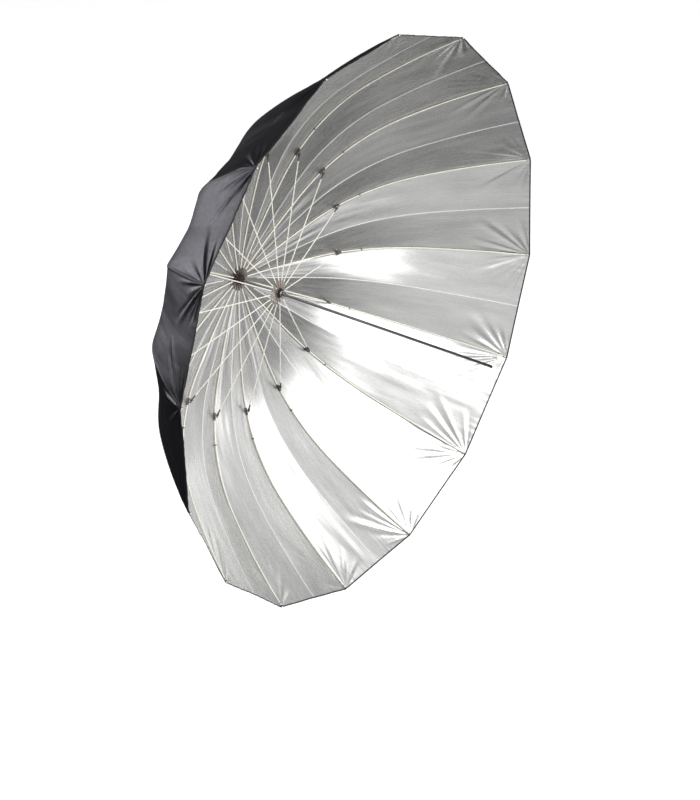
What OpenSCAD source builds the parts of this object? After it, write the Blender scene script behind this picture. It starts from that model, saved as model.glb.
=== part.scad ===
// Deep sixteen-rib umbrella reflector, open.
// The shaft lies along Y. The silver hollow side and the shaft's free end face -Y, the apex faces +Y.
// The origin is on the shaft's axis, at the place where a lamp head's umbrella holder grips it.
// Every sub-part is drawn in the umbrella's own frame, where Z runs down the shaft from the plane of
// the rib hinges in the notch towards the free end, and in_frame() turns that into the part's frame.

/* [Canopy] */
// Width of the open canopy across two opposite rib ends
canopy_d = 1650; // [1500:10:1800]
// Turn of the first rib about the shaft, from straight up
rib_phase = 8.25; // [0:0.25:22.25]
// Inward hollow of a gore midway between its ribs, half way out along them
gore_sag = 10; // [2:0.5:12]
// Thickness of a gore's solid, cloth and seams together
gore_t = 0.6; // [0.5:0.1:1.2]

/* [Ribs] */
// Diameter of a rib's rod
rib_d = 3.5; // [3:0.1:3.6]
// Slope of the ribs where they leave the notch, in degrees
slope_hub = 4; // [2:0.5:6]
// Slope of the ribs at the end of the straight inner stretch
slope_inner = 11; // [9:0.5:13]
// Slope of the ribs at the end of the strongly bent middle stretch
slope_middle = 47.5; // [44:0.5:50]
// Slope of the ribs at the rim
slope_rim = 57; // [54:0.5:60]
// Slope of a rib at the clip that takes its stretcher
slope_clip = 19.2; // [17:0.1:21]

/* [Stretchers] */
// Diameter of a stretcher's rod
stretcher_d = 3; // [2.6:0.1:3.1]

/* [Shaft and runner] */
// Diameter of the shaft
shaft_d = 8; // [8:0.1:8.2]
// Length of the shaft tube from the rib hinges to its open end
shaft_reach = 860; // [800:5:920]
// Distance along the shaft from the rib hinges to the holder's grip
grip_u = 510; // [300:5:700]
// Wall of the shaft tube
shaft_wall = 1; // [0.8:0.1:1]
// Distance along the shaft from the rib hinges to the runner's hinge circle, open
runner_u = 143.5; // [135:0.5:150]
// Length of the runner's plain sleeve behind its core
runner_sleeve = 16; // [12:1:24]

/* [Hidden] */
rib_count = 16;
pitch = 360 / rib_count;
half_pitch = pitch / 2;
arc_fn = 720;        // facets of a full turn on the long arcs of the ribs
rod_fn = 24;
round_fn = 48;
gap = 0.3;           // room between parts that move past each other
slip = 0.05;         // room between a rod and the sleeve crimped on it

// The hinge circle shared by the notch and the runner
hinge_r = 12;
eye_r = 2.2;
eye_hole_r = 0.75;
wire_r = 0.6;
blade_t = 2;
blade_h = 3.2;
slot_w = blade_t + 2 * gap;
slot_floor_r = hinge_r - eye_r - 0.4;
hub_r = 14;

// The rib's run: three arcs that meet with equal slopes
slopes = [slope_hub, slope_inner, slope_middle, slope_rim];
shares = [0.37, 0.445, 0.385];
unit_radii = [for (k = [0:2]) shares[k] / ((slopes[k + 1] - slopes[k]) * PI / 180)];
unit_rise = [for (k = [0:2]) unit_radii[k] * (sin(slopes[k + 1]) - sin(slopes[k]))];
rib_scale = (canopy_d / 2 - hinge_r) / (unit_rise[0] + unit_rise[1] + unit_rise[2]);
radii = unit_radii * rib_scale;

// Where arc k starts, as [distance from the shaft's axis, distance along the shaft]
function arc_start(k) =
    k == 0 ? [hinge_r, 0] : on_arc(k - 1, slopes[k]);
// The point of arc k where the rib's slope is a
function on_arc(k, a) =
    arc_start(k) + radii[k] * [sin(a) - sin(slopes[k]), cos(slopes[k]) - cos(a)];
// The centre of arc k
function arc_centre(k) =
    arc_start(k) + radii[k] * [-sin(slopes[k]), cos(slopes[k])];
// The turn that covers a length along arc k
function arc_turn(k, length) = length / radii[k] * 180 / PI;

// The stretcher's hinge on the rib
lug_drop = 6;
clip_at = on_arc(1, slope_clip);
joint = clip_at + lug_drop * [-sin(slope_clip), cos(slope_clip)];
stretcher_l = norm(joint - [hinge_r, runner_u]);
stretcher_tilt = atan2(runner_u - joint[1], hinge_r - joint[0]);

// Fittings crimped on the rods
crimp_from = 9;
eye_crimp_l = 13;
runner_crimp_from = 12;
runner_crimp_l = 12;
fork_crimp_l = 14;
crimp_r = 2.3;
crimp_plug = 1.5;    // solid metal where a crimped sleeve meets its blade
clip_l = 22;
clip_r = 2.5;
tie_l = 4;
tie_r = 2.3;
tip_l = 12;
tip_r = 2.5;
tip_bare = 2.5;      // white rod end that shows beyond the tip's sleeve
stretcher_crimp_r = 2.1;
rivet_r = 0.95;
rivet_head_r = 1.8;
rivet_head_t = 0.6;
rivet_hole_r = 1.05;
lug_r = 3;
lug_t = 2;
fork_t = 1;
fork_in = lug_t / 2 + 0.15;
fork_r = 2.8;
fork_root = 4.6;     // nearest that the fork's solid root comes to the rivet

// Cloth
lift = 3.1;          // height of the cloth's inner face over a rib's centre line
apex_lift = 2.7;     // more of it over the notch, fading out along the rib
apex_fade = 90;
seam_gap = 0.3;      // from a gore's edge to the middle plane of its rib
hem_inset = 5;
rim_hollow = 0.12;   // what is left of a gore's hollow at the taut hem
runs = [5, 16, 8];   // facets along the three arcs
across = 4;          // facets across a gore
patch_r = 28;
patch_t = 0.6;
patch_z = -7.5;
washer_t = 0.8;

// Notch
notch_top = -5;
notch_bottom = 5.2;
boss_r = 8;
boss_end = 16;
pin_z = 11;
pin_r = 1;
core_bore_r = shaft_d / 2 + slip;

// Shaft
shaft_top = -22;
ferrule_r = 8;
ferrule_end = -30;
plug_l = 10;
plug_head = 4;
groove_l = 1.5;
groove_t = 0.3;

// Runner
ring_half = 5.2;
ring_end = 8;
core_r = 9.2;
sleeve_r = 5.7;
liner_r = 4.9;
liner_bore_r = shaft_d / 2 + 0.06;
keyway_w = 3;
keyway_r = 7.6;
runner_end = runner_u + ring_end + runner_sleeve;

// Spring catch
catch_t = 2;
catch_l = 15;
catch_proud = 3;
catch_low = 0.8;
catch_flat = 1.5;
tail_l = 20;
tail_t = 0.5;
catch_u = runner_end + 0.8;
groove_u = catch_u + catch_l + 6;

OTHERS = ["shaft", "shaft_end_plug", "notch", "notch_wire", "notch_pin", "ferrule",
          "apex_washer", "apex_patch", "runner", "runner_liner", "catch"];
function numbered(stem, i) = str(stem, i < 10 ? "_0" : "_", i);

// ---- placing ----

module in_frame() {
    translate([0, grip_u, 0]) rotate([90, 0, 0]) children();
}

// The half plane of rib i, counted clockwise as seen from the free end
module at_rib(i) {
    in_frame() rotate([0, 0, 90 - rib_phase - pitch * (i - 1)]) children();
}

// A round bar lying across the half plane of a rib, centred on point p of it
module cross_bar(p, r, h) {
    translate([p[0], 0, p[1]]) rotate([90, 0, 0]) cylinder(r = r, h = h, center = true, $fn = round_fn);
}

// ---- ribs ----

// A bar or tube that follows arc k between two slopes
module along_arc(k, from, to, r_out, r_in = 0) {
    c = arc_centre(k);
    translate([c[0], 0, c[1]]) rotate([90, 0, 0]) rotate([0, 0, from - 90])
        rotate_extrude(angle = to - from, $fn = arc_fn) translate([radii[k], 0])
            difference() {
                circle(r = r_out, $fn = rod_fn);
                if (r_in > 0) circle(r = r_in, $fn = rod_fn);
            }
}

// The rod, with a bead where its bend changes that anchors the cloth's ties
module rib_rod() {
    start = slopes[0] + arc_turn(0, crimp_from + 2);
    along_arc(0, start, slopes[1], rib_d / 2);
    along_arc(1, slopes[1], slopes[2], rib_d / 2);
    along_arc(2, slopes[2], slopes[3], rib_d / 2);
    for (a = [slopes[1], slopes[2]])
        along_arc(1, a - arc_turn(1, tie_l / 2), a + arc_turn(1, tie_l / 2), tie_r);
}

// The flattened metal end that turns on the notch's wire
module rib_eye() {
    from = slopes[0] + arc_turn(0, crimp_from);
    to = slopes[0] + arc_turn(0, crimp_from + eye_crimp_l);
    along_arc(0, from, to, crimp_r, rib_d / 2 + slip);
    along_arc(0, from, from + arc_turn(0, crimp_plug), crimp_r);
    difference() {
        union() {
            cross_bar([hinge_r, 0], eye_r, blade_t);
            translate([hinge_r, 0, 0]) rotate([0, -slope_hub, 0])
                translate([0, -blade_t / 2, -blade_h / 2]) cube([crimp_from + 0.5, blade_t, blade_h]);
        }
        cross_bar([hinge_r, 0], eye_hole_r, blade_t + 1);
    }
}

// The clip on the rib, with the lug that takes the stretcher's fork
module rib_clip() {
    turn = arc_turn(1, clip_l / 2);
    difference() {
        union() {
            along_arc(1, slope_clip - turn, slope_clip + turn, clip_r);
            cross_bar(joint, lug_r, lug_t);
            translate([clip_at[0], 0, clip_at[1]]) rotate([0, -slope_clip, 0])
                translate([-lug_r, -lug_t / 2, 0]) cube([2 * lug_r, lug_t, lug_drop]);
        }
        along_arc(1, slope_clip - 2 * turn, slope_clip + 2 * turn, rib_d / 2 + slip);
        cross_bar(joint, rivet_hole_r, 4 * lug_t);
    }
}

module rib_rivet() {
    body_h = 2 * (fork_in + fork_t + 0.1);
    cross_bar(joint, rivet_r, body_h + 0.2);
    for (side = [-1, 1])
        translate([0, side * (body_h / 2 + rivet_head_t / 2), 0])
            cross_bar(joint, rivet_head_r, rivet_head_t);
}

module rib_tip() {
    bare = arc_turn(2, tip_bare);
    along_arc(2, slopes[3] - bare - arc_turn(2, tip_l), slopes[3] - bare, tip_r, rib_d / 2 + slip);
}

module rib(i) {
    at_rib(i) {
        color("ivory") rib_rod();
        color("#3a322e") rib_eye();
        color("#3a322e") rib_clip();
        color("dimgray") rib_rivet();
        color("#2b2b2b") rib_tip();
    }
}

// ---- stretchers ----

// Drawn along X from the rib's rivet to the runner's hinge circle
module stretcher_fork() {
    difference() {
        union() {
            for (side = [-1, 1])
                translate([0, side * (fork_in + fork_t / 2), 0]) {
                    rotate([90, 0, 0]) cylinder(r = fork_r, h = fork_t, center = true, $fn = round_fn);
                    translate([0, -fork_t / 2, -fork_r])
                        cube([crimp_from + 0.5, fork_t, 2 * fork_r]);
                }
            translate([fork_root, -fork_in - fork_t, -stretcher_crimp_r])
                cube([crimp_from - fork_root + 0.5, 2 * (fork_in + fork_t), 2 * stretcher_crimp_r]);
        }
        rotate([90, 0, 0]) cylinder(r = rivet_hole_r, h = 12, center = true, $fn = round_fn);
    }
    crimp_tube(crimp_from, fork_crimp_l);
}

module crimp_tube(from, length) {
    translate([from, 0, 0]) rotate([0, 90, 0]) difference() {
        cylinder(r = stretcher_crimp_r, h = length, $fn = round_fn);
        translate([0, 0, -1]) cylinder(r = stretcher_d / 2 + slip, h = length + 2, $fn = round_fn);
    }
}

module stretcher_eye() {
    crimp_tube(stretcher_l - runner_crimp_from - runner_crimp_l, runner_crimp_l);
    translate([stretcher_l - runner_crimp_from - crimp_plug, 0, 0]) rotate([0, 90, 0])
        cylinder(r = stretcher_crimp_r, h = crimp_plug, $fn = round_fn);
    translate([stretcher_l, 0, 0]) difference() {
        union() {
            rotate([90, 0, 0]) cylinder(r = eye_r, h = blade_t, center = true, $fn = round_fn);
            translate([-runner_crimp_from - 0.5, -blade_t / 2, -blade_h / 2])
                cube([runner_crimp_from + 0.5, blade_t, blade_h]);
        }
        rotate([90, 0, 0]) cylinder(r = eye_hole_r, h = 2 * blade_t, center = true, $fn = round_fn);
    }
}

module stretcher_rod() {
    from = crimp_from + 2;
    length = stretcher_l - runner_crimp_from - 2 - from;
    translate([from, 0, 0]) rotate([0, 90, 0]) cylinder(d = stretcher_d, h = length, $fn = round_fn);
}

module stretcher(i) {
    at_rib(i) translate([joint[0], 0, joint[1]]) rotate([0, -stretcher_tilt, 0]) {
        color("ivory") stretcher_rod();
        color("#3a322e") stretcher_fork();
        color("#3a322e") stretcher_eye();
    }
}

// ---- cloth ----

// Stations along a rib, each as [arc, slope]
stations = concat([for (k = [0:2]) for (n = [0:runs[k] - 1])
                       [k, slopes[k] + (slopes[k + 1] - slopes[k]) * n / runs[k]]],
                  [[2, slopes[3] - arc_turn(2, hem_inset)]]);
rib_l = [for (k = [0:2]) radii[k] * (slopes[k + 1] - slopes[k]) * PI / 180];
function run_before(k) = k == 0 ? 0 : rib_l[k - 1] + run_before(k - 1);
function run_at(st) = run_before(st[0]) + (st[1] - slopes[st[0]]) * PI / 180 * radii[st[0]];
rib_length = run_before(3);

// A point of gore cloth: its height is over the rib's centre line, and v runs from -1 to 1 across
function cloth_lift(run) = lift + apex_lift * pow(max(0, 1 - run / apex_fade), 2);
function cloth_point(st, v, height) =
    let (run = run_at(st),
         share = run / rib_length,
         hollow = gore_sag * (sin(180 * share) + rim_hollow * share) * (1 - v * v),
         h = cloth_lift(run) + height - hollow,
         p = on_arc(st[0], st[1]) + h * [sin(st[1]), -cos(st[1])],
         half_w = p[0] * sin(half_pitch) - seam_gap)
    [p[0] * cos(half_pitch), v * half_w, p[1]];

module gore(i) {
    n_s = len(stations);
    n_v = across + 1;
    inner = [for (st = stations) for (j = [0:across]) cloth_point(st, 2 * j / across - 1, 0)];
    outer = [for (st = stations) for (j = [0:across]) cloth_point(st, 2 * j / across - 1, gore_t)];
    o = len(inner);
    sheet = [for (a = [0:n_s - 2]) for (j = [0:across - 1]) [a * n_v + j, a * n_v + j + 1]];
    inner_faces = [for (q = sheet) [q[0], q[1], q[1] + n_v, q[0] + n_v]];
    outer_faces = [for (q = sheet) [o + q[0], o + q[0] + n_v, o + q[1] + n_v, o + q[1]]];
    rim = (n_s - 1) * n_v;
    apex_edge = [for (j = [0:across - 1]) [j, o + j, o + j + 1, j + 1]];
    rim_edge = [for (j = [0:across - 1]) [rim + j, rim + j + 1, o + rim + j + 1, o + rim + j]];
    left_edge = [for (a = [0:n_s - 2]) [a * n_v, a * n_v + n_v, o + a * n_v + n_v, o + a * n_v]];
    right_edge = [for (a = [0:n_s - 2]) let (b = a * n_v + across) [b, o + b, o + b + n_v, b + n_v]];
    color("#26262b") at_rib(i + 0.5)
        polyhedron(points = concat(inner, outer),
                   faces = concat(inner_faces, outer_faces, apex_edge, rim_edge, left_edge, right_edge));
}

module apex_patch() {
    color("#1d1d20") in_frame() translate([0, 0, patch_z]) difference() {
        cylinder(r = patch_r, h = patch_t, $fn = round_fn);
        translate([0, 0, -1]) cylinder(r = core_bore_r, h = patch_t + 2, $fn = round_fn);
    }
}

module apex_washer() {
    color("dimgray") in_frame() translate([0, 0, patch_z - washer_t]) difference() {
        cylinder(r = hinge_r, h = washer_t, $fn = round_fn);
        translate([0, 0, -1]) cylinder(r = core_bore_r, h = washer_t + 2, $fn = round_fn);
    }
}

// ---- notch ----

// One slot for a blade, from the floor radius out, between two heights
module hinge_slots(low, high) {
    for (i = [1:rib_count])
        rotate([0, 0, 90 - rib_phase - pitch * (i - 1)])
            translate([slot_floor_r, -slot_w / 2, low]) cube([hub_r, slot_w, high - low]);
}

module notch() {
    color("#4a2f26") in_frame() difference() {
        union() {
            translate([0, 0, notch_top])
                cylinder(r = hub_r, h = notch_bottom - notch_top, $fn = round_fn);
            cylinder(r = boss_r, h = boss_end, $fn = round_fn);
        }
        translate([0, 0, notch_top - 1])
            cylinder(r = core_bore_r, h = boss_end - notch_top + 2, $fn = round_fn);
        hinge_slots(-eye_r - 0.5, notch_bottom + 1);
        rotate_extrude($fn = round_fn) translate([hinge_r - wire_r - 0.1, -wire_r - 0.1])
            square([hub_r, 2 * wire_r + 0.2]);
        translate([0, 0, pin_z]) rotate([0, 90, 0])
            cylinder(r = pin_r + slip, h = 4 * boss_r, center = true, $fn = round_fn);
    }
}

module notch_wire() {
    color("silver") in_frame() rotate_extrude($fn = round_fn) translate([hinge_r, 0])
        circle(r = wire_r, $fn = rod_fn);
}

module notch_pin() {
    color("silver") in_frame() translate([0, 0, pin_z]) rotate([0, 90, 0])
        cylinder(r = pin_r, h = 2 * boss_r - 0.6, center = true, $fn = round_fn);
}

module ferrule() {
    neck = patch_z - washer_t;
    color("#1f1f22") in_frame() difference() {
        rotate_extrude($fn = round_fn) difference() {
            union() {
                translate([0, ferrule_end + ferrule_r / 2])
                    square([ferrule_r, neck - ferrule_end - ferrule_r / 2]);
                translate([0, ferrule_end]) square([ferrule_r / 2, ferrule_r / 2]);
                intersection() {
                    translate([ferrule_r / 2, ferrule_end + ferrule_r / 2])
                        circle(r = ferrule_r / 2, $fn = round_fn);
                    translate([0, ferrule_end]) square([ferrule_r, ferrule_r]);
                }
            }
            translate([-ferrule_r, 2 * ferrule_end]) square([ferrule_r, 3 * ferrule_r - ferrule_end]);
        }
        translate([0, 0, shaft_top - 0.5])
            cylinder(r = core_bore_r, h = neck - shaft_top + 2, $fn = round_fn);
    }
}

// ---- shaft ----

module shaft() {
    length = shaft_reach - shaft_top;
    slot_l = catch_l + 1.6;
    color("#4d4f54") in_frame() difference() {
        translate([0, 0, shaft_top]) cylinder(d = shaft_d, h = length, $fn = round_fn);
        translate([0, 0, shaft_top - 1]) cylinder(d = shaft_d - 2 * shaft_wall, h = length + 2, $fn = round_fn);
        translate([0, 0, groove_u]) difference() {
            cylinder(d = 2 * shaft_d, h = groove_l, $fn = round_fn);
            cylinder(d = shaft_d - 2 * groove_t, h = groove_l, $fn = round_fn);
        }
        translate([-catch_t / 2 - gap, 0, catch_u - 0.8]) cube([catch_t + 2 * gap, shaft_d, slot_l]);
        translate([0, 0, pin_z]) rotate([0, 90, 0])
            cylinder(r = pin_r + slip, h = 2 * shaft_d, center = true, $fn = round_fn);
    }
}

module shaft_end_plug() {
    bore_r = shaft_d / 2 - shaft_wall;
    head_r = shaft_d / 2 - slip;
    color("#1f1f22") in_frame() rotate_extrude($fn = round_fn) difference() {
        union() {
            translate([0, shaft_reach - plug_l]) square([bore_r - slip, plug_l]);
            translate([0, shaft_reach]) square([head_r, plug_head - 1]);
            translate([0, shaft_reach]) square([head_r - 1, plug_head]);
            translate([head_r - 1, shaft_reach + plug_head - 1]) circle(r = 1, $fn = round_fn);
        }
        translate([-shaft_d, 0]) square([shaft_d, 2 * shaft_reach]);
    }
}

// ---- runner ----

module runner_keyway() {
    translate([-keyway_w / 2, 0, 0]) cube([keyway_w, keyway_r, 2 * runner_end]);
}

module runner() {
    low = runner_u - ring_half;
    color("#4a2f26") in_frame() difference() {
        union() {
            translate([0, 0, low]) difference() {
                cylinder(r = hub_r, h = 2 * ring_half, $fn = round_fn);
                hinge_slots(-1, 2 * ring_half + 1);
            }
            translate([0, 0, low]) cylinder(r = core_r, h = ring_half + ring_end, $fn = round_fn);
            translate([0, 0, low]) cylinder(r = sleeve_r, h = runner_end - low, $fn = round_fn);
        }
        cylinder(r = liner_r, h = 2 * runner_end, $fn = round_fn);
        runner_keyway();
    }
}

module runner_liner() {
    low = runner_u - ring_half;
    color("gray") in_frame() difference() {
        translate([0, 0, low]) cylinder(r = liner_r - slip, h = runner_end - low, $fn = round_fn);
        cylinder(r = liner_bore_r, h = 2 * runner_end, $fn = round_fn);
        runner_keyway();
    }
}

module catch() {
    top = shaft_d / 2 + catch_proud;
    color("silver") in_frame() rotate([0, -90, 0])
        translate([0, 0, -catch_t / 2]) linear_extrude(height = catch_t) polygon([
            [catch_u, catch_low],
            [catch_u, top],
            [catch_u + catch_flat, top],
            [catch_u + catch_l, shaft_d / 2 - shaft_wall / 2],
            [catch_u + catch_l, catch_low - tail_t],
            [catch_u - tail_l, catch_low - tail_t],
            [catch_u - tail_l, catch_low]]);
}

shaft();
shaft_end_plug();
notch();
notch_wire();
notch_pin();
ferrule();
apex_washer();
apex_patch();
runner();
runner_liner();
catch();
for (i = [1:rib_count]) {
    rib(i);
    stretcher(i);
    gore(i);
}
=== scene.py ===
import math

import bmesh
import bpy
import numpy as np
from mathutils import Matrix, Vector

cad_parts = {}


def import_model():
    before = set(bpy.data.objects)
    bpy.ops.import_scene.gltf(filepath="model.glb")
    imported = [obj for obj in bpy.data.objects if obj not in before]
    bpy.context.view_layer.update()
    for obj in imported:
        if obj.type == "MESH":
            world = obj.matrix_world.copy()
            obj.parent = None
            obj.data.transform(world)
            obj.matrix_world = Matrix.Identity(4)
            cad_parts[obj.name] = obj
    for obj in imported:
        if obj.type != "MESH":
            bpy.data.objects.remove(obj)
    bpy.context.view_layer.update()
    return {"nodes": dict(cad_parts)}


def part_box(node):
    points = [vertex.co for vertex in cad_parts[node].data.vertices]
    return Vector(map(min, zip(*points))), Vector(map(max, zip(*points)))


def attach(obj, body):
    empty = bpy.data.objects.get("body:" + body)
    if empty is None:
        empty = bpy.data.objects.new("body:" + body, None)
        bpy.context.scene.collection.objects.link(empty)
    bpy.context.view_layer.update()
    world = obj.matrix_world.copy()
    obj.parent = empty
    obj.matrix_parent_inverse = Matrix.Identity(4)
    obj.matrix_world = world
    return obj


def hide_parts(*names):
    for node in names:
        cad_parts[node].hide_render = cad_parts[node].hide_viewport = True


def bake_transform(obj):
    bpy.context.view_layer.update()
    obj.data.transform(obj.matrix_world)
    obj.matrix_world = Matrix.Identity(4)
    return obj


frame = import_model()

# Looks of a deep sixteen-rib umbrella reflector. Lengths are in metres. The umbrella's own frame has
# u running down the shaft from the plane of the rib hinges, and polar angles turn about the shaft.
# A run is a length along a rib's centre line from its hinge. Across a gore, v goes from 1 at its own
# rib to -1 at the next.

# ---- driving sizes, the same as the CAD part's ----
MM = 0.001
RIB_COUNT = 16
PITCH = 360 / RIB_COUNT
RIB_PHASE = 8.25                     # turn of the first rib from straight up, clockwise
CANOPY_R = 0.825
HINGE_R = 0.012
SLOPES = np.radians([4, 11, 47.5, 57])   # a rib's slope at the ends of its three arcs
SHARES = np.array([0.37, 0.445, 0.385])  # relative lengths of the arcs
RIB_R = 1.75 * MM
LIFT = 3.1 * MM                      # from a rib's centre line to the cloth's inner face
APEX_LIFT = 2.7 * MM                 # more of it over the notch
APEX_FADE = 0.090
HOLLOW = 10 * MM                     # how far a gore's middle stands in, half way out
RIM_HOLLOW = 0.12                    # what is left of it at the taut hem
CLIP_SLOPE = math.radians(19.2)
LUG_DROP = 6 * MM
RUNNER_U = 143.5 * MM
TIP_BARE = 2.5 * MM
TIP_SLEEVE = 12 * MM
ROD_R = 1.5 * MM                     # of a stretcher
PATCH_R = 0.028

# ---- cloth details, which the CAD part lacks or has otherwise ----
CLOTH_T = 0.4 * MM
HEM_INSET = 2 * MM                   # from the end of a rib's centre line to the cloth's edge
ROWS, COLUMNS = 108, 84              # cells along and across a gore
CLUSTERING = 0.55                    # how strongly the cells across crowd towards the ribs
FIRST_RUN = 4 * MM                   # where a gore's point begins, over the notch
SHARP_FOLD = 0.65                    # share of the hollow that is a fold, and the rest is round
FREE_FROM = 6 * MM                   # the cloth's unevenness is full this far from a rib
CREASE_ANGLES = (6, 13, 21, 30, 40, 51, 62, 73)   # degrees from the rib, before chance moves them
PLEAT_COUNT = 9
ROSETTE_BORE_R = 4.1 * MM            # just clear of the shaft
UV_SHIFT = 0.7                       # so that no two gores have the same grain
SEED = 100
RIM_DIP = 0.5 * MM                   # how far the hem bows in between two rib tips
TAUT_EDGE = 9 * MM                   # how far from the hem the corners' creases begin

# ---- where the hub is, from the frame ----
low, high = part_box("notch_wire")
HUB = (low + high) / 2

rise = SHARES / np.diff(SLOPES) * np.diff(np.sin(SLOPES))
scale = (CANOPY_R - HINGE_R) / rise.sum()
RADII = SHARES / np.diff(SLOPES) * scale
ARC_LENGTHS = SHARES * scale
ARC_RUNS = np.concatenate([[0], np.cumsum(ARC_LENGTHS)])
RIB_LENGTH = ARC_RUNS[-1]
CLOTH_END = RIB_LENGTH - HEM_INSET


def arc_starts():
    """Radius and distance down the shaft of the ends of a rib's three arcs."""
    points = [np.array([HINGE_R, 0.0])]
    for k in range(3):
        a, b = SLOPES[k], SLOPES[k + 1]
        step = np.array([math.sin(b) - math.sin(a), math.cos(a) - math.cos(b)])
        points.append(points[-1] + RADII[k] * step)
    return np.array(points)


ARC_STARTS = arc_starts()
CLIP_RUN = ARC_RUNS[1] + (CLIP_SLOPE - SLOPES[1]) * RADII[1]


def rib_at(run):
    """Radius, distance down the shaft and slope at a run along a rib's centre line."""
    run = np.asarray(run, float)
    k = np.clip(np.searchsorted(ARC_RUNS, run, side="right") - 1, 0, 2)
    slope = SLOPES[k] + (run - ARC_RUNS[k]) / RADII[k]
    r = ARC_STARTS[k, 0] + RADII[k] * (np.sin(slope) - np.sin(SLOPES[k]))
    u = ARC_STARTS[k, 1] + RADII[k] * (np.cos(SLOPES[k]) - np.cos(slope))
    return r, u, slope


def polar_of(rib):
    """Polar angle of a rib, or of the middle of a gore at a half number."""
    return math.radians(90 - RIB_PHASE - PITCH * (rib - 1))


def world(r, across, u, polar):
    """World points at distances r from the shaft and across a half plane at a polar angle."""
    x = r * math.cos(polar) - across * math.sin(polar)
    z = r * math.sin(polar) + across * math.cos(polar)
    return np.stack([x + HUB.x, HUB.y - u, z + HUB.z], axis=-1)


# ---- the cloth's shape ----

# the lattice covers x from -NOISE_SIDE to NOISE_SIDE, and y from -NOISE_SIDE to NOISE_LENGTH
NOISE_SIDE = 0.3
NOISE_LENGTH = 1.2


def smooth_noise(x, y, cell_x, cell_y, rng):
    """Smooth random heights from -1 to 1 at points x, y of a gore, over a lattice of random values."""
    shape = (int(2 * NOISE_SIDE / cell_x) + 3, int((NOISE_SIDE + NOISE_LENGTH) / cell_y) + 3)
    table = rng.uniform(-1, 1, shape)
    gx, gy = (x + NOISE_SIDE) / cell_x, (y + NOISE_SIDE) / cell_y
    ix, iy = np.floor(gx).astype(int), np.floor(gy).astype(int)
    fx, fy = (f * f * f * (f * (6 * f - 15) + 10) for f in (gx - ix, gy - iy))
    near = table[ix, iy] * (1 - fx) + table[ix + 1, iy] * fx
    far = table[ix, iy + 1] * (1 - fx) + table[ix + 1, iy + 1] * fx
    return near * (1 - fy) + far * fy


def half_width(run):
    """Half the straight distance between two neighbouring ribs' cloth edges."""
    r, _, slope = rib_at(run)
    return (r + LIFT * np.sin(slope)) * math.sin(math.radians(PITCH / 2))


def from_edge(run):
    """How far short of the cloth's rim edge a run is, and never less than nothing."""
    return np.maximum(CLOTH_END - run, 0)


def tip_creases(run, v, rng):
    """Ridges and grooves that fan out into a gore from its two rim corners."""
    out = np.zeros_like(run)
    along = from_edge(run)
    for side in (-1, 1):
        across = (1 - side * v) * half_width(run)
        reach = np.hypot(along, across)
        angle = np.degrees(np.arctan2(across, along + 1e-6))
        sign = rng.choice((-1, 1))
        for base in CREASE_ANGLES:
            centre = base + rng.uniform(-3, 3)
            width = rng.uniform(1.8, 3.4) * (1 + base / 110)
            length = rng.uniform(0.08, 0.19) * (1.25 if base < 45 else 0.75)
            steep = rng.uniform(0.6, 1.3)
            fade = np.clip(1 - reach / length, 0, 1) ** 1.2
            ridge = np.exp(-((angle - centre) / width) ** 2)
            out += sign * steep * math.radians(width) * reach * fade * ridge
            sign = -sign if rng.uniform() < 0.8 else sign
    return out * np.clip(along / TAUT_EDGE, 0, 1)


def hem_pleats(run, v, rng):
    """A few narrow folds that run square to the hem into the gore."""
    along = from_edge(run)
    x = v * half_width(run)
    out = np.zeros_like(run)
    for place in np.linspace(-0.82, 0.82, PLEAT_COUNT):
        centre = (place + rng.uniform(-0.07, 0.07)) * half_width(CLOTH_END)
        width = rng.uniform(3.0, 5.0) * MM
        length = rng.uniform(0.018, 0.065)
        height = rng.uniform(-0.6, 0.6) * MM
        lean = rng.uniform(-0.12, 0.12)
        fold = np.exp(-((x - centre - lean * along) / width) ** 2)
        out += height * np.clip(1 - along / length, 0, 1) * fold
    return out


def hem_puckers(run, v, rng):
    """Short gathers square to the hem, where the binding is a little tighter than the cloth."""
    along = from_edge(run)
    x = v * half_width(run)
    level = np.zeros_like(x)
    wave = smooth_noise(x, level, 9 * MM, 1.0, rng) + 0.5 * smooth_noise(x, level, 5 * MM, 1.0, rng)
    depth = 14 * MM * (1 + np.abs(smooth_noise(x, level, 40 * MM, 1.0, rng)))
    return 0.55 * MM * wave * np.exp(-along / depth)


def slack(run, v, rng):
    """Shallow unevenness of stretched cloth, longer along the gore than across it."""
    x = v * half_width(run)
    broad = smooth_noise(x, run, 55 * MM, 0.17, rng)
    middle = smooth_noise(x, run, 26 * MM, 0.15, rng)
    fine = smooth_noise(x, run, 12 * MM, 0.10, rng)
    return (1.1 * broad + 0.55 * middle + 0.16 * fine) * MM


def hub_gathers(run, v, rng):
    """Narrow folds that run out from the notch, where the gores' points are drawn together."""
    wave = smooth_noise(v * 0.16, run, 27 * MM, 0.2, rng)
    fade = np.clip(run / 0.05, 0, 1) * np.clip(1 - (run - 0.12) / 0.28, 0, 1)
    return 0.014 * half_width(run) * wave * fade


def cloth_offset(run, v, gore):
    """How far the cloth of a gore stands out from the flat way between its ribs."""
    rng = np.random.default_rng(SEED + gore)
    share = run / RIB_LENGTH
    bow = np.sin(math.pi * share) + RIM_HOLLOW * share
    profile = SHARP_FOLD * (1 - np.abs(v)) + (1 - SHARP_FOLD) * (1 - v * v)
    hollow = HOLLOW * rng.uniform(0.85, 1.1) * bow * profile
    edge = np.clip((1 - np.abs(v)) * half_width(run) / FREE_FROM, 0, 1) ** 2
    inner = np.clip(run / 0.25, 0, 1)
    loose = (slack(run, v, rng) * inner + tip_creases(run, v, rng) + hem_puckers(run, v, rng)
             + hem_pleats(run, v, rng) + hub_gathers(run, v, rng))
    return -hollow + loose * edge


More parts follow.
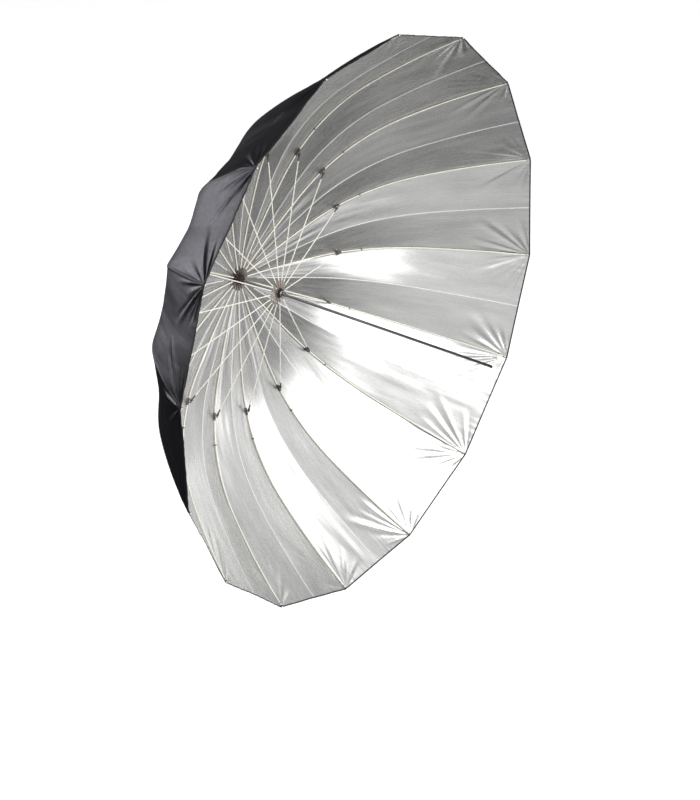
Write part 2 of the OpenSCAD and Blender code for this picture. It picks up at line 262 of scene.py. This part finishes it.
def cloth_point(run, v, gore, height):
    """World points of a gore at a height over the cloth's inner face."""
    r, u, slope = rib_at(run)
    lift = LIFT + APEX_LIFT * np.clip(1 - run / APEX_FADE, 0, 1) ** 2
    h = lift + height + cloth_offset(run, v, gore)
    r, u = r + h * np.sin(slope), u - h * np.cos(slope)
    half = math.radians(PITCH / 2)
    return world(r * math.cos(half), v * r * math.sin(half), u, polar_of(gore + 0.5))


def rim_run(v):
    """Run at which the hem lies, bowed in a little between the rib tips."""
    return CLOTH_END - RIM_DIP * (1 - v * v)


def column_places():
    """The places v of a gore's columns of points, closer together near the ribs."""
    x = np.linspace(-1, 1, COLUMNS + 1)
    return (1 - CLUSTERING) * x + CLUSTERING * (1.5 * x - 0.5 * x ** 3)


# ---- meshes ----

def make_object(name, verts, faces, smooth_angle=40):
    """A mesh object, smooth but for edges sharper than an angle in degrees."""
    mesh = bpy.data.meshes.new(name)
    mesh.from_pydata([tuple(p) for p in verts], [], faces)
    mesh.update()
    mesh.polygons.foreach_set("use_smooth", [True] * len(mesh.polygons))
    mesh.set_sharp_from_angle(angle=math.radians(smooth_angle))
    obj = bpy.data.objects.new(name, mesh)
    bpy.context.scene.collection.objects.link(obj)
    return obj


def set_uv(obj, uv):
    """Gives each corner the uv of its vertex."""
    mesh = obj.data
    layer = mesh.uv_layers.new(name="UVMap")
    index = np.zeros(len(mesh.loops), np.int32)
    mesh.loops.foreach_get("vertex_index", index)
    layer.data.foreach_set("uv", uv[index].astype(np.float32).ravel())


def tube_faces(rings, sides, closed_ends=True, first=0):
    """Faces of a skin over rings of points, with sides points on each ring."""
    faces = [(first + a * sides + j, first + a * sides + (j + 1) % sides,
              first + (a + 1) * sides + (j + 1) % sides, first + (a + 1) * sides + j)
             for a in range(rings - 1) for j in range(sides)]
    if closed_ends:
        faces.append(tuple(first + j for j in reversed(range(sides))))
        faces.append(tuple(first + (rings - 1) * sides + j for j in range(sides)))
    return faces


def loop_faces(rings, sides):
    """Faces of a skin over rings of points whose last ring joins the first."""
    faces = tube_faces(rings + 1, sides, closed_ends=False)
    return [tuple(p % (rings * sides) for p in face) for face in faces]


def fold_with_gore(obj):
    """Bakes a piece's world transform into its mesh."""
    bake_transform(obj)


def gore_cloth(gore):
    """One gore as a thin closed shell, silver inside and black outside."""
    to_rim = np.linspace(1, 0, ROWS + 1) ** 1.6
    v = np.tile(column_places(), (ROWS + 1, 1))
    run = FIRST_RUN + (rim_run(v) - FIRST_RUN) * (1 - to_rim[:, None])
    inner = cloth_point(run, v, gore, 0.0).reshape(-1, 3)
    outer = cloth_point(run, v, gore, CLOTH_T).reshape(-1, 3)
    n, wide = len(inner), COLUMNS + 1
    faces, slots = [], []
    for a in range(ROWS):
        for j in range(COLUMNS):
            p = a * wide + j
            faces.append((p, p + wide, p + wide + 1, p + 1))
            faces.append((n + p, n + p + 1, n + p + wide + 1, n + p + wide))
            slots += [0, 1]
    border = ([a * wide for a in range(ROWS + 1)] + [ROWS * wide + j for j in range(1, wide)]
              + [a * wide + COLUMNS for a in reversed(range(ROWS))]
              + [j for j in reversed(range(1, COLUMNS))])
    for p, s in zip(border, border[1:] + border[:1]):
        faces.append((p, n + p, n + s, s))
        slots.append(1)
    obj = make_object(f"gore_cloth_{gore:02d}", np.concatenate([inner, outer]), faces)
    obj.data.polygons.foreach_set("material_index", slots)
    across = (v * half_width(run)).ravel() + UV_SHIFT * gore
    uv = np.stack([across, run.ravel()], axis=1)
    set_uv(obj, np.concatenate([uv, uv]))
    return obj, np.tile((1 - v.ravel()) / 2, 2)


def hem_binding(gore):
    """The binding folded over a gore's rim, wider outside than inside. Its profile is in millimetres:
    run past the rim, and height over the cloth's inner face."""
    profile = np.array([(-3.2, -0.08), (-3.2, -0.36), (-1.4, -0.42), (0.4, -0.42), (1.0, 0.2), (0.4, 0.82),
                        (-1.0, 0.9), (-3.2, 0.89), (-5.5, 0.88), (-7.8, 0.87), (-10, 0.86), (-10, 0.48),
                        (-7.8, 0.48), (-5.5, 0.47), (-3.2, 0.47), (-1.4, 0.46), (0.2, 0.46),
                        (0.2, -0.06), (-1.4, -0.07)]) * MM
    v = np.repeat(column_places()[:, None], len(profile), axis=1)
    run = rim_run(v) + profile[:, 0]
    points = cloth_point(run, v, gore, profile[:, 1]).reshape(-1, 3)
    obj = make_object(f"hem_{gore:02d}", points, tube_faces(COLUMNS + 1, len(profile)), 60)
    set_uv(obj, np.stack([(v * half_width(run)).ravel(), run.ravel()], axis=1))
    return obj, (1 - v.ravel()) / 2


def middle_seam(gore):
    """The folded seam along the middle of a gore, on its silver side. Its profile is in millimetres:
    across, and height over the cloth's inner face."""
    profile = np.array([(-1.6, 0.05), (-1.3, -0.28), (0, -0.34), (1.3, -0.28), (1.6, 0.05)]) * MM
    runs = np.linspace(0.07, rim_run(np.array(0.0)) - 4 * MM, 90)
    run = np.repeat(runs[:, None], len(profile), axis=1)
    v = profile[:, 0] / half_width(run)
    points = cloth_point(run, v, gore, profile[:, 1]).reshape(-1, 3)
    obj = make_object(f"middle_seam_{gore:02d}", points, tube_faces(len(runs), len(profile)), 70)
    set_uv(obj, np.stack([np.tile(profile[:, 0], len(runs)), run.ravel()], axis=1))
    return obj, (1 - v.ravel()) / 2


def edge_seams(gore):
    """A gore's halves of the seams over its two ribs, on the black side. Half a seam's profile is in
    millimetres: distance from the rib, and height over the cloth's inner face."""
    half = np.array([(0, 0.42), (0, 0.9), (1.6, 0.82), (3.2, 0.72), (5.0, 0.8), (5.2, 0.42)]) * MM
    runs = np.linspace(0.035, CLOTH_END - 11 * MM, 110)
    points, shares, uv, faces = [], [], [], []
    for side, profile in ((1, half), (-1, half[::-1])):
        faces += tube_faces(len(runs), len(half), first=len(points) * len(runs) * len(half))
        v = side * (1 - np.minimum(profile[:, 0] / half_width(runs)[:, None], 1))
        run = np.repeat(runs[:, None], len(half), axis=1)
        points.append(cloth_point(run, v, gore, profile[:, 1]).reshape(-1, 3))
        shares.append((1 - v.ravel()) / 2)
        uv.append(np.stack([np.tile(side * profile[:, 0], len(runs)), run.ravel()], axis=1))
    obj = make_object(f"edge_seams_{gore:02d}", np.concatenate(points), faces, 60)
    set_uv(obj, np.concatenate(uv))
    return obj, np.concatenate(shares)


def thread_tie(rib):
    """Turns of thread that hold the cloth to a rib beyond its clip."""
    beyond_clip = 82 * MM
    turns, sides, steps = 4, 6, 72
    thread_r, loop_r, shift, pitch = 0.35 * MM, 2.7 * MM, 0.6 * MM, 0.8 * MM
    angle = np.linspace(0, 2 * math.pi * turns, steps)
    run = CLIP_RUN + beyond_clip + pitch * (angle / (2 * math.pi) - turns / 2)
    rings = []
    for j in range(sides):
        around = 2 * math.pi * j / sides
        radius = loop_r + thread_r * math.cos(around)
        r, u, slope = rib_at(run + thread_r * math.sin(around))
        h = shift + radius * np.cos(angle)
        across = radius * np.sin(angle)
        rings.append(world(r + h * np.sin(slope), across, u - h * np.cos(slope), polar_of(rib)))
    points = np.stack(rings, axis=1).reshape(-1, 3)
    return make_object(f"tie_{rib:02d}", points, tube_faces(steps, sides), 60)


def tip_pocket(rib):
    """The small silver pocket that hooks the gores' corner over a rib's end. Its stations are in
    millimetres: run past a point close to the end, radius, and shift towards the cloth."""
    sides, wall = 14, 0.14
    near_end = RIB_LENGTH - 0.5 * MM
    stations = [(-13, 3.0, 0.1), (-12.6, 3.1, 0.2), (-9, 3.1, 0.2), (-6.4, 3.0, 0.1), (-6.0, 2.6, 0.0)]
    rings = []
    for offset, radius, shift in stations:
        r, u, slope = rib_at(near_end + offset * MM)
        angle = np.linspace(0, 2 * math.pi, sides, endpoint=False)
        h = shift * MM + radius * MM * np.cos(angle)
        across = radius * MM * np.sin(angle)
        rings.append(world(r + h * np.sin(slope), across, u - h * np.cos(slope), polar_of(rib)))
    outer = np.stack(rings)
    centre = outer.mean(axis=1, keepdims=True)
    inner = centre + (outer - centre) * (1 - wall)
    points = np.concatenate([outer, inner[::-1]]).reshape(-1, 3)
    return make_object(f"tip_pocket_{rib:02d}", points, loop_faces(2 * len(stations), sides), 50)


def apex_rosette():
    """The round patch that covers the gores' ends at the apex, with a pinked edge and a stitched ring."""
    lo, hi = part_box("apex_patch")
    top, thick = hi.y, hi.y - lo.y
    turns, rows, teeth, tooth = 192, 16, 48, 0.8 * MM
    stitch_r, stitch_depth = 23.5 * MM, 0.18 * MM
    points = []
    for side in (0, 1):
        for a in range(rows + 1):
            share = a / rows
            for j in range(turns):
                angle = 2 * math.pi * j / turns
                edge = PATCH_R - tooth * abs(((j * teeth / turns) % 1) * 2 - 1)
                radius = ROSETTE_BORE_R + (edge - ROSETTE_BORE_R) * share
                ripple = 0.25 * MM * share * math.sin(16 * angle + 0.6) + 0.12 * MM * math.sin(7 * angle)
                stitch = stitch_depth * math.exp(-((radius - stitch_r) / (0.7 * MM)) ** 2)
                y = top - 0.9 * MM * share ** 2 - thick * (0.9 if side else 0.1)
                y += ripple * share - (stitch if not side else 0)
                points.append((HUB.x + radius * math.cos(angle), y, HUB.z + radius * math.sin(angle)))
    n = (rows + 1) * turns
    faces = []
    for a in range(rows):
        for j in range(turns):
            p, s = a * turns + j, a * turns + (j + 1) % turns
            faces.append((p, p + turns, s + turns, s))
            faces.append((n + p, n + s, n + s + turns, n + p + turns))
    for a in (0, rows):
        for j in range(turns):
            p, s = a * turns + j, a * turns + (j + 1) % turns
            faces.append((p, s, n + s, n + p) if a == 0 else (s, p, n + p, n + s))
    return make_object("apex_rosette", points, faces, 50)


# ---- materials ----

STITCH_W = 0.7 * MM
WAVE_UNIT = 20                       # radians that a wave texture turns in one unit of length


def new_material(name, colour, roughness, metallic=0.0):
    """A material, its nodes and its shader. A node may take the colour's or the roughness's place."""
    material = bpy.data.materials.new(name)
    material.use_nodes = True
    shader = material.node_tree.nodes["Principled BSDF"]
    shader.inputs["Base Color"].default_value = (*colour, 1)
    shader.inputs["Roughness"].default_value = roughness
    shader.inputs["Metallic"].default_value = metallic
    return material, material.node_tree, shader


def noise_node(tree, source, size, detail=3.0, stretch=(1, 1, 1)):
    """A noise texture whose features are size metres across, stretched along the axes."""
    mapping = tree.nodes.new("ShaderNodeMapping")
    mapping.inputs["Scale"].default_value = [1 / (size * s) for s in stretch]
    tree.links.new(source, mapping.inputs["Vector"])
    node = tree.nodes.new("ShaderNodeTexNoise")
    node.inputs["Scale"].default_value = 1.0
    node.inputs["Detail"].default_value = detail
    tree.links.new(mapping.outputs["Vector"], node.inputs["Vector"])
    return node.outputs["Fac"]


def ramp(tree, source, low_value, high_value, start=0.3, end=0.7):
    """A number from low_value to high_value as source goes from start to end."""
    node = tree.nodes.new("ShaderNodeMapRange")
    node.inputs["From Min"].default_value = start
    node.inputs["From Max"].default_value = end
    node.inputs["To Min"].default_value = low_value
    node.inputs["To Max"].default_value = high_value
    tree.links.new(source, node.inputs["Value"])
    return node.outputs["Result"]


def colours(tree, source, dark, light, start=0.3, end=0.7):
    """A colour from dark to light as source goes from start to end."""
    node = tree.nodes.new("ShaderNodeValToRGB")
    node.color_ramp.elements[0].position = start
    node.color_ramp.elements[1].position = end
    node.color_ramp.elements[0].color = (*dark, 1)
    node.color_ramp.elements[1].color = (*light, 1)
    tree.links.new(source, node.inputs["Fac"])
    return node.outputs["Color"]


def bump(tree, shader, heights):
    """Adds bumps to a shader, each as (height output, depth in metres, strength)."""
    normal = None
    for height, depth, strength in heights:
        node = tree.nodes.new("ShaderNodeBump")
        node.inputs["Distance"].default_value = depth
        node.inputs["Strength"].default_value = strength
        tree.links.new(height, node.inputs["Height"])
        if normal is not None:
            tree.links.new(normal, node.inputs["Normal"])
        normal = node.outputs["Normal"]
    tree.links.new(normal, shader.inputs["Normal"])


def coordinates(tree, kind="Object"):
    """Texture coordinates of one kind."""
    return tree.nodes.new("ShaderNodeTexCoord").outputs[kind]


def weave(tree, source, radian):
    """Heights of a plain weave over UV in metres, with so many metres to a radian of its waves."""
    waves = []
    for axis in ("X", "Y"):
        node = tree.nodes.new("ShaderNodeTexWave")
        node.bands_direction = axis
        node.inputs["Scale"].default_value = 1 / (radian * WAVE_UNIT)
        tree.links.new(source, node.inputs["Vector"])
        waves.append(node.outputs["Fac"])
    node = tree.nodes.new("ShaderNodeMath")
    node.operation = "MULTIPLY"
    tree.links.new(waves[0], node.inputs[0])
    tree.links.new(waves[1], node.inputs[1])
    return node.outputs["Value"]


def silver_cloth():
    """The inside: metal-coated cloth with fine streaks along the gore and soft clouds."""
    material, tree, shader = new_material("silver_cloth", (0.7, 0.7, 0.71), 0.3, 0.92)
    uv = coordinates(tree, "UV")
    streaks = noise_node(tree, uv, 8 * MM, 3, (1, 16, 1))
    clouds = noise_node(tree, uv, 0.055, 3, (1, 3, 1))
    crinkle = noise_node(tree, uv, 0.018, 3, (1, 4, 1))
    colour = colours(tree, clouds, (0.53, 0.53, 0.525), (0.62, 0.62, 0.612))
    tree.links.new(colour, shader.inputs["Base Color"])
    tree.links.new(ramp(tree, streaks, 0.22, 0.34), shader.inputs["Roughness"])
    bump(tree, shader, [(clouds, 1.2 * MM, 0.4), (crinkle, 0.4 * MM, 0.4), (streaks, 0.25 * MM, 0.4),
                        (weave(tree, uv, 0.45 * MM), 0.02 * MM, 0.3)])
    return material


def black_nylon():
    """The outside: closely woven black cloth with a little sheen."""
    material, tree, shader = new_material("black_nylon", (0.010, 0.0095, 0.013), 0.48)
    shader.inputs["Specular IOR Level"].default_value = 0.19
    uv = coordinates(tree, "UV")
    clouds = noise_node(tree, uv, 0.05, 3, (1, 2, 1))
    crinkle = noise_node(tree, uv, 0.011, 4, (1, 2, 1))
    colour = colours(tree, clouds, (0.008, 0.0075, 0.0105), (0.012, 0.0115, 0.0155))
    tree.links.new(colour, shader.inputs["Base Color"])
    tree.links.new(ramp(tree, crinkle, 0.35, 0.43), shader.inputs["Roughness"])
    bump(tree, shader, [(clouds, 0.6 * MM, 0.3), (crinkle, 0.12 * MM, 0.3),
                        (weave(tree, uv, 0.4 * MM), 0.02 * MM, 0.3)])
    return material


def stitched(name, dark, light, roughness, metallic, row, radian):
    """Seam cloth with stitches where U is row from its middle, over UV in metres. A stitch and the gap
    after it take a full turn of a wave, with so many metres to a radian."""
    material, tree, shader = new_material(name, light, roughness, metallic)
    uv = coordinates(tree, "UV")
    split = tree.nodes.new("ShaderNodeSeparateXYZ")
    tree.links.new(uv, split.inputs["Vector"])
    grain = noise_node(tree, uv, 1.5 * MM, 3)
    tree.links.new(colours(tree, grain, dark, light), shader.inputs["Base Color"])
    tree.links.new(ramp(tree, grain, roughness - 0.08, roughness + 0.08), shader.inputs["Roughness"])
    away = tree.nodes.new("ShaderNodeMath")
    away.operation = "ABSOLUTE"
    tree.links.new(split.outputs["X"], away.inputs[0])
    offset = tree.nodes.new("ShaderNodeMath")
    offset.operation = "COMPARE"
    offset.inputs[1].default_value = row
    offset.inputs[2].default_value = STITCH_W / 2
    tree.links.new(away.outputs["Value"], offset.inputs[0])
    waves = tree.nodes.new("ShaderNodeTexWave")
    waves.bands_direction = "Y"
    waves.inputs["Scale"].default_value = 1 / (radian * WAVE_UNIT)
    tree.links.new(uv, waves.inputs["Vector"])
    stitches = tree.nodes.new("ShaderNodeMath")
    stitches.operation = "MULTIPLY"
    tree.links.new(offset.outputs["Value"], stitches.inputs[0])
    tree.links.new(waves.outputs["Fac"], stitches.inputs[1])
    bump(tree, shader, [(stitches.outputs["Value"], 0.3 * MM, 0.8), (grain, 0.1 * MM, 0.4)])
    return material


def grained(name, dark, light, roughness, size, metallic=0.0, spread=0.08, depth=0.05, stretch=(1, 1, 1)):
    """A solid material with a grain in its colour, roughness and surface."""
    material, tree, shader = new_material(name, light, roughness, metallic)
    grain = noise_node(tree, coordinates(tree), size, 4, stretch)
    fine = noise_node(tree, coordinates(tree), size / 5, 2, stretch)
    tree.links.new(colours(tree, grain, dark, light), shader.inputs["Base Color"])
    tree.links.new(ramp(tree, fine, roughness - spread, roughness + spread), shader.inputs["Roughness"])
    bump(tree, shader, [(grain, depth * MM, 0.5), (fine, depth * MM / 3, 0.4)])
    return material


SILVER = silver_cloth()
BLACK = black_nylon()
# the hem's only stitches are tacks across it near a gore's two corners
HEM = stitched("hem_cloth", (0.008, 0.008, 0.009), (0.02, 0.02, 0.022), 0.62, 0.0,
               row=0.155, radian=3 * MM)
RIB_SEAM = stitched("rib_seam_cloth", (0.009, 0.009, 0.010), (0.024, 0.024, 0.027), 0.5, 0.0,
                    row=3.2 * MM, radian=2.6 * MM)
MIDDLE_SEAM = stitched("middle_seam_cloth", (0.56, 0.56, 0.56), (0.74, 0.74, 0.74), 0.5, 0.2,
                       row=0.7 * MM, radian=2.6 * MM)
CREAM = grained("fibreglass", (0.66, 0.635, 0.55), (0.78, 0.76, 0.68), 0.36, 4 * MM)
FITTING = grained("crimped_metal", (0.045, 0.036, 0.032), (0.13, 0.10, 0.09), 0.42, 2.5 * MM, 0.6)
BLADE = grained("hinge_blade", (0.09, 0.066, 0.058), (0.22, 0.17, 0.15), 0.4, 2.5 * MM, 0.6)
RUNNER_BLADE = grained("runner_blade", (0.24, 0.185, 0.165), (0.42, 0.34, 0.31), 0.4, 2.5 * MM, 0.5)
STEEL = grained("bright_steel", (0.48, 0.48, 0.49), (0.66, 0.66, 0.67), 0.28, 3 * MM, 1.0, depth=0.02)
GUNMETAL = grained("shaft_steel", (0.13, 0.13, 0.135), (0.21, 0.21, 0.215), 0.24, 9 * MM, 1.0,
                   depth=0.02, stretch=(1, 8, 1))
BROWN = grained("brown_plastic", (0.010, 0.007, 0.006), (0.070, 0.040, 0.032), 0.38, 3.5 * MM)
BLACK_PLASTIC = grained("black_plastic", (0.008, 0.008, 0.009), (0.022, 0.022, 0.024), 0.45, 1.5 * MM)
LINER = grained("liner_plastic", (0.30, 0.29, 0.27), (0.42, 0.41, 0.38), 0.4, 2 * MM)
POCKET = grained("pocket_cloth", (0.50, 0.50, 0.495), (0.62, 0.62, 0.61), 0.42, 2 * MM, 0.7)
THREAD = grained("thread", (0.02, 0.018, 0.017), (0.06, 0.055, 0.05), 0.7, 0.6 * MM)


def give(obj, *materials):
    """Replaces an object's materials. Its faces keep their indices as far as there are materials."""
    indices = np.zeros(len(obj.data.polygons), np.int32)
    obj.data.polygons.foreach_get("material_index", indices)
    obj.data.materials.clear()
    for material in materials:
        obj.data.materials.append(material)
    obj.data.polygons.foreach_set("material_index", np.minimum(indices, len(materials) - 1))


# ---- CAD nodes that stay ----

OVER_ROD = 0.1 * MM                  # a face further than this outside a rod belongs to a fitting
EYE_END = 11 * MM                    # run up to which a rib is all fitting
FORK_END = 11 * MM                   # how far a stretcher is all fitting from its fork's rivet
BLADE_END = 14 * MM                  # and from the hinges in the runner
CORE_END = 8.1 * MM                  # how far below the runner's hinges its core gives way to its sleeve


def plane_of_rib(points, rib):
    """World points as radius, across and distance down the shaft in a rib's half plane."""
    x, z, u = points[:, 0] - HUB.x, points[:, 2] - HUB.z, HUB.y - points[:, 1]
    polar = polar_of(rib)
    return x * math.cos(polar) + z * math.sin(polar), z * math.cos(polar) - x * math.sin(polar), u


def nearest_on_rib(r, u):
    """Run along the rib's centre line nearest to points of its plane, and how far off they are."""
    runs = np.linspace(0, RIB_LENGTH, 4000)
    cr, cu, _ = rib_at(runs)
    best = np.array([np.argmin((cr - a) ** 2 + (cu - b) ** 2) for a, b in zip(r, u)])
    return runs[best], np.hypot(r - cr[best], u - cu[best])


def face_centres(obj):
    """World places of a CAD object's face centres."""
    centres = np.zeros(len(obj.data.polygons) * 3)
    obj.data.polygons.foreach_get("center", centres)
    return centres.reshape(-1, 3)


def joint_point():
    """Where a stretcher's rivet goes through its rib's lug, in the rib's plane."""
    r, u, _ = rib_at(CLIP_RUN)
    return r - LUG_DROP * math.sin(CLIP_SLOPE), u + LUG_DROP * math.cos(CLIP_SLOPE)


def dress_rib(rib):
    """Cream rod, metal fittings, steel rivet, black tip sleeve and, at the notch, a brownish eye."""
    obj = frame["nodes"][f"rib_{rib:02d}"]
    r, across, u = plane_of_rib(face_centres(obj), rib)
    run, off = nearest_on_rib(r, u)
    off = np.hypot(off, across)
    joint_r, joint_u = joint_point()
    by_joint = np.hypot(r - joint_r, u - joint_u)
    cream, fitting, rivet, sleeve, eye = range(5)
    slots = np.where((off > RIB_R + OVER_ROD) | (run < EYE_END), fitting, cream)
    slots[(by_joint < 2.2 * MM) & (np.abs(across) > 1.9 * MM)] = rivet
    slots[(run > RIB_LENGTH - TIP_BARE - TIP_SLEEVE - 1 * MM) & (slots == fitting)] = sleeve
    slots[(run < 40 * MM) & (slots == fitting)] = eye
    for junction in ARC_RUNS[1:3]:
        slots[np.abs(run - junction) < 4 * MM] = cream
    give(obj, CREAM, FITTING, STEEL, BLACK_PLASTIC, BLADE)
    obj.data.polygons.foreach_set("material_index", slots.astype(np.int32))


def dress_stretcher(rib):
    """Cream rod between a dark metal fork at the rib and a brownish eye at the runner."""
    obj = frame["nodes"][f"stretcher_{rib:02d}"]
    r, across, u = plane_of_rib(face_centres(obj), rib)
    joint_r, joint_u = joint_point()
    length = math.hypot(joint_r - HINGE_R, RUNNER_U - joint_u)
    ex, eu = (HINGE_R - joint_r) / length, (RUNNER_U - joint_u) / length
    along = (r - joint_r) * ex + (u - joint_u) * eu
    off = np.hypot((r - joint_r) * eu - (u - joint_u) * ex, across)
    cream, fork, eye = range(3)
    bare = (off <= ROD_R + OVER_ROD) & (along >= FORK_END) & (along <= length - BLADE_END)
    slots = np.where(bare, cream, fork)
    slots[(along > length / 2) & (slots == fork)] = eye
    give(obj, CREAM, FITTING, RUNNER_BLADE)
    obj.data.polygons.foreach_set("material_index", slots.astype(np.int32))


def dress_runner():
    """Brown ring and core, and a dark metal sleeve."""
    obj = frame["nodes"]["runner"]
    centres = face_centres(obj)
    away = np.hypot(centres[:, 0] - HUB.x, centres[:, 2] - HUB.z)
    beyond = HUB.y - centres[:, 1] > RUNNER_U + CORE_END
    give(obj, BROWN, GUNMETAL)
    slots = np.where(beyond & (away < 6 * MM), 1, 0)
    obj.data.polygons.foreach_set("material_index", slots.astype(np.int32))


def runner_collar():
    """A bright rolled collar where the runner's sleeve leaves its core. Its profile is in millimetres:
    radius, and distance below the runner's hinges."""
    profile = np.array([(5.75, 8.05), (6.7, 8.05), (7.0, 8.5), (7.0, 9.6), (6.6, 10.2), (5.75, 10.3)]) * MM
    sides = 48
    rings = []
    for radius, along in profile:
        angle = np.linspace(0, 2 * math.pi, sides, endpoint=False) + 0.1
        y = np.full(sides, HUB.y - RUNNER_U - along)
        rings.append(np.stack([HUB.x + radius * np.cos(angle), y, HUB.z + radius * np.sin(angle)], axis=1))
    return make_object("runner_collar", np.concatenate(rings), loop_faces(len(profile), sides), 50)


HUB_MATERIALS = {"shaft": GUNMETAL, "shaft_end_plug": BLACK_PLASTIC, "notch": BROWN, "notch_wire": STEEL,
                 "notch_pin": STEEL, "ferrule": BLACK_PLASTIC, "apex_washer": STEEL,
                 "runner_liner": LINER, "catch": STEEL}
for name, material in HUB_MATERIALS.items():
    give(frame["nodes"][name], material)

dress_runner()
collar = runner_collar()
give(collar, STEEL)
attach(collar, "runner")


# ---- the soft goods ----

def fit_gore(gore):
    cloth, share = gore_cloth(gore)
    give(cloth, SILVER, BLACK)
    fold_with_gore(cloth)
    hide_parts(f"gore_{gore:02d}")

    for make, material in ((hem_binding, HEM), (middle_seam, MIDDLE_SEAM), (edge_seams, RIB_SEAM)):
        piece, share = make(gore)
        give(piece, material)
        fold_with_gore(piece)


def fit_rib(rib):
    """Adds the thread and the pocket that hold the cloth to a rib."""
    for make, material in ((thread_tie, THREAD), (tip_pocket, POCKET)):
        piece = make(rib)
        give(piece, material)
        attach(piece, f"rib_{rib:02d}")


for number in range(1, RIB_COUNT + 1):
    dress_rib(number)
    dress_stretcher(number)
    fit_gore(number)
    fit_rib(number)

rosette = apex_rosette()
give(rosette, BLACK)
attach(rosette, "root")
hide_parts("apex_patch")


# ---- stage ----

FLOOR_Z = -1.9
FLOOR_R = 40
BOWL = Vector((0, HUB.y - 0.3, 0))   # a point in the middle of the canopy's hollow

# the world's brightness from straight down, at 0, to straight up, at 1
SHADES = ((0.0, 0.52), (0.035, 0.50), (0.105, 0.46), (0.19, 0.64), (0.315, 0.74), (0.43, 0.80),
          (0.57, 0.98), (1.0, 1.0))


def floor():
    """A wide pale floor that glows a little, so that it stays white away from the lights."""
    mesh = bpy.data.meshes.new("floor")
    bm = bmesh.new()
    bmesh.ops.create_circle(bm, cap_ends=True, segments=64, radius=FLOOR_R)
    bm.to_mesh(mesh)
    bm.free()
    obj = bpy.data.objects.new("floor", mesh)
    obj.location = (0, 0, FLOOR_Z)
    bpy.context.scene.collection.objects.link(obj)
    paper = grained("floor_paper", (0.90, 0.90, 0.90), (0.92, 0.92, 0.92), 0.9, 0.4)
    shader = paper.node_tree.nodes["Principled BSDF"]
    shader.inputs["Emission Color"].default_value = (1, 1, 1, 1)
    shader.inputs["Emission Strength"].default_value = 0.45
    give(obj, paper)
    obj.visible_glossy = False


def soft_box(name, at, aim, size, power, colour=(1, 1, 1)):
    """A rectangular light at a place, turned to another, that the camera doesn't see."""
    light = bpy.data.lights.new(name, "AREA")
    light.shape = "RECTANGLE"
    light.size, light.size_y = size
    light.energy = power
    light.color = colour
    obj = bpy.data.objects.new(name, light)
    obj.location = at
    obj.rotation_euler = (Vector(aim) - Vector(at)).to_track_quat("-Z", "Y").to_euler()
    obj.visible_camera = False
    bpy.context.scene.collection.objects.link(obj)
    return obj


def towards(azimuth, elevation, distance):
    """A place seen from the bowl: azimuth 0 is straight out of it and 90 to the right."""
    a, e = math.radians(azimuth), math.radians(elevation)
    return BOWL + distance * Vector((math.sin(a) * math.cos(e), -math.cos(a) * math.cos(e), math.sin(e)))


def surroundings():
    """World light: brighter above than below, and white where the camera sees it."""
    scene = bpy.context.scene
    scene.world = bpy.data.worlds.new("studio")
    scene.world.use_nodes = True
    tree = scene.world.node_tree
    background = tree.nodes["Background"]
    split = tree.nodes.new("ShaderNodeSeparateXYZ")
    tree.links.new(coordinates(tree, "Generated"), split.inputs["Vector"])
    height = tree.nodes.new("ShaderNodeValToRGB")
    tree.links.new(ramp(tree, split.outputs["Z"], 0, 1, -1, 1), height.inputs["Fac"])
    shades = height.color_ramp.elements
    for place, shade in SHADES:
        element = shades[0] if place == 0 else shades[-1] if place == 1 else shades.new(place)
        element.color = (shade, shade, shade, 1)
    # the lower half is darker to the right than to the left, and everything behind is dim
    aside = tree.nodes.new("ShaderNodeMath")
    aside.operation = "MULTIPLY_ADD"
    tree.links.new(ramp(tree, split.outputs["X"], 0.1, -0.75, -0.5, 0.3), aside.inputs[0])
    tree.links.new(ramp(tree, split.outputs["Z"], 1, 0, -0.4, 0), aside.inputs[1])
    aside.inputs[2].default_value = 1
    behind = ramp(tree, split.outputs["Y"], 1.0, 0.06, -0.55, 0.3)
    share = tree.nodes.new("ShaderNodeMath")
    share.operation = "MULTIPLY"
    tree.links.new(aside.outputs["Value"], share.inputs[0])
    tree.links.new(behind, share.inputs[1])
    dimmed = tree.nodes.new("ShaderNodeVectorMath")
    dimmed.operation = "SCALE"
    tree.links.new(height.outputs["Color"], dimmed.inputs[0])
    tree.links.new(share.outputs["Value"], dimmed.inputs["Scale"])
    seen = tree.nodes.new("ShaderNodeMixRGB")
    seen.inputs["Color2"].default_value = (1, 1, 1, 1)
    tree.links.new(tree.nodes.new("ShaderNodeLightPath").outputs["Is Camera Ray"], seen.inputs["Fac"])
    tree.links.new(dimmed.outputs["Vector"], seen.inputs["Color1"])
    tree.links.new(seen.outputs["Color"], background.inputs["Color"])
    background.inputs["Strength"].default_value = 1.0


def camera():
    """The photograph's view: from the left of the open side, looking down by 30 degrees."""
    azimuth, elevation = -53.754, 30.195
    data = bpy.data.cameras.new("camera")
    data.lens = 113.45
    data.clip_end = 200
    obj = bpy.data.objects.new("camera", data)
    obj.location = (-4.9725, -3.5275, 3.3226)
    obj.rotation_euler = (math.radians(90 - elevation), 0, math.radians(azimuth))
    bpy.context.scene.collection.objects.link(obj)
    bpy.context.scene.camera = obj


floor()
surroundings()
soft_box("key_box", towards(10, 28, 5.0), BOWL, (5.4, 6.0), 205)
soft_box("top_box", towards(-35, 50, 6.0), BOWL, (3.2, 3.2), 45)
soft_box("back_box", towards(172, -3, 4.5), BOWL, (1.7, 1.9), 36, (0.93, 0.915, 1.0))
soft_box("ceiling", Vector((0, 0, 6)), Vector((0, 0, 0)), (8, 8), 200).visible_glossy = False
camera()
bpy.context.scene.view_settings.view_transform = "Standard"
